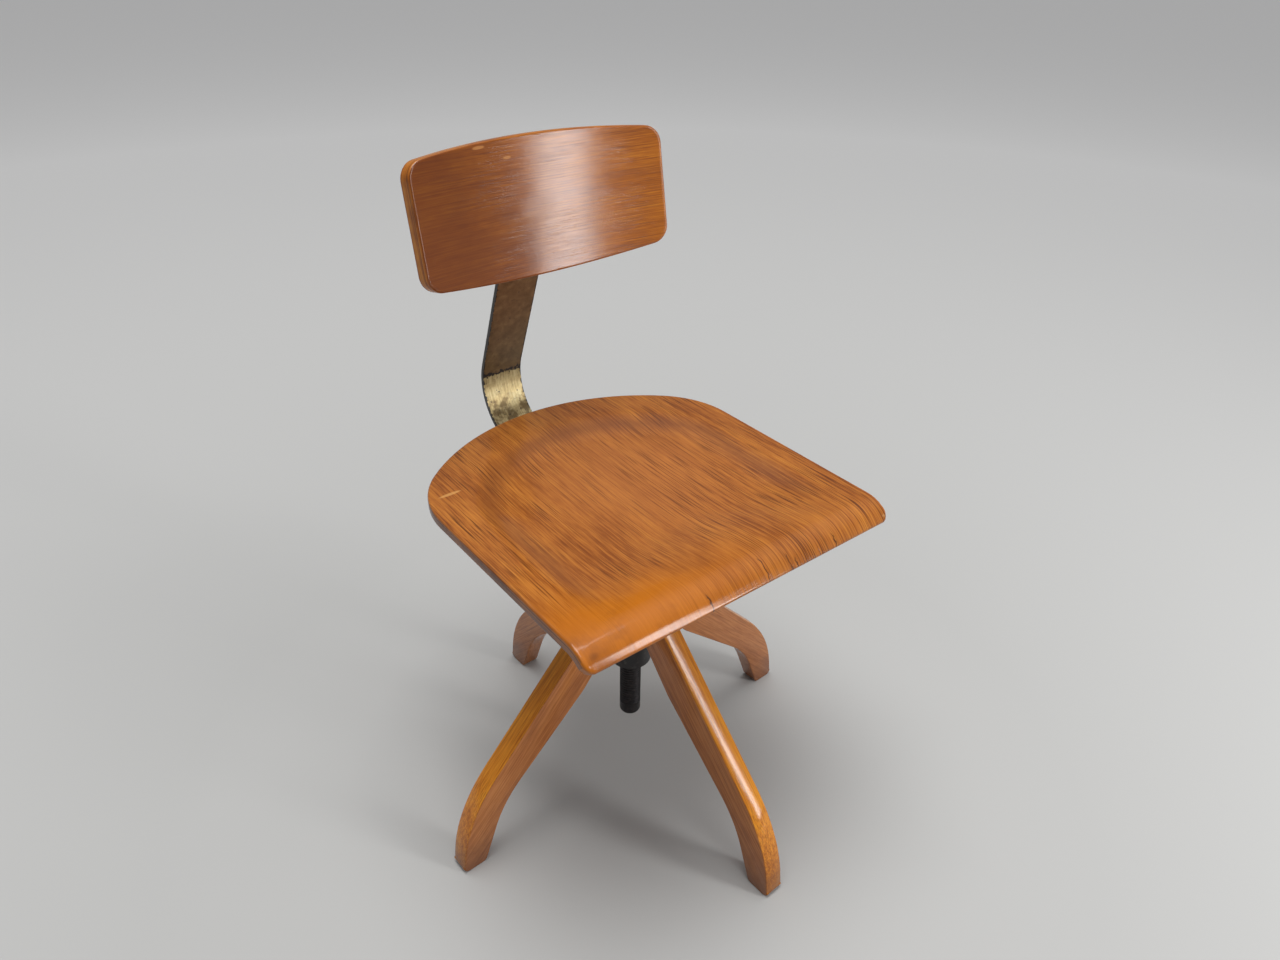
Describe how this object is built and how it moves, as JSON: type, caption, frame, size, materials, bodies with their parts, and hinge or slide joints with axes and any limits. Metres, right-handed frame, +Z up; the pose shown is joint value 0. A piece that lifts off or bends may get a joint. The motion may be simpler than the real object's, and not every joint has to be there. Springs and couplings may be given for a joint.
{
  "type": "swivel chair",
  "caption": "Wooden swivel work chair with a dished plywood seat on a screw spindle, curved wooden legs and a curved backrest on a sprung steel bar.",
  "frame": {"origin": "on the floor at the spindle's axis", "axes": "+Z up along the spindle; the seat faces -Y; +X is to the right as seen from the front"},
  "size_m": [0.5404, 0.5553, 0.7907],
  "materials": {
    "leg_wood": "varnished solid beech",
    "seat_plywood": "varnished plywood, worn in the middle",
    "rest_plywood": "varnished plywood",
    "block_wood": "raw planed wood",
    "black_steel": "black enamel, half gloss",
    "oiled_steel": "blackened oily steel",
    "bolt_steel": "dull aged steel",
    "bronze": "dull bronze",
    "plated_bar": "worn plated spring steel"
  },
  "bodies": {
    "base": {"leg_right": "leg_wood", "leg_rear": "leg_wood", "leg_left": "leg_wood", "leg_front": "leg_wood", "hub": "black_steel", "leg_bolts": "bolt_steel", "leg_washers": "bolt_steel", "thrust_washer": "bronze"},
    "swivel": {"swivel_nut": "black_steel", "retaining_ring": "black_steel", "ring_screw": "bolt_steel"},
    "column": {"spindle": "oiled_steel", "carrier": "black_steel", "carrier_pin": "bolt_steel", "seat": "seat_plywood", "seat_block": "block_wood", "seat_screws": "bolt_steel", "back_bar": "plated_bar", "bar_bolts": "bolt_steel", "bar_washers": "bolt_steel", "backrest": "rest_plywood", "rest_screws": "bolt_steel"}
  },
  "joints": [
    {"name": "seat_swivel", "type": "hinge", "parent": "base", "child": "swivel", "pos_m": [0, 0, 0.3], "axis": [0, 0, 1], "continuous": true},
    {"name": "seat_height", "type": "slide", "parent": "swivel", "child": "column", "axis": [0, 0, 1], "range_m": [-0.038, 0.08]}
  ]
}
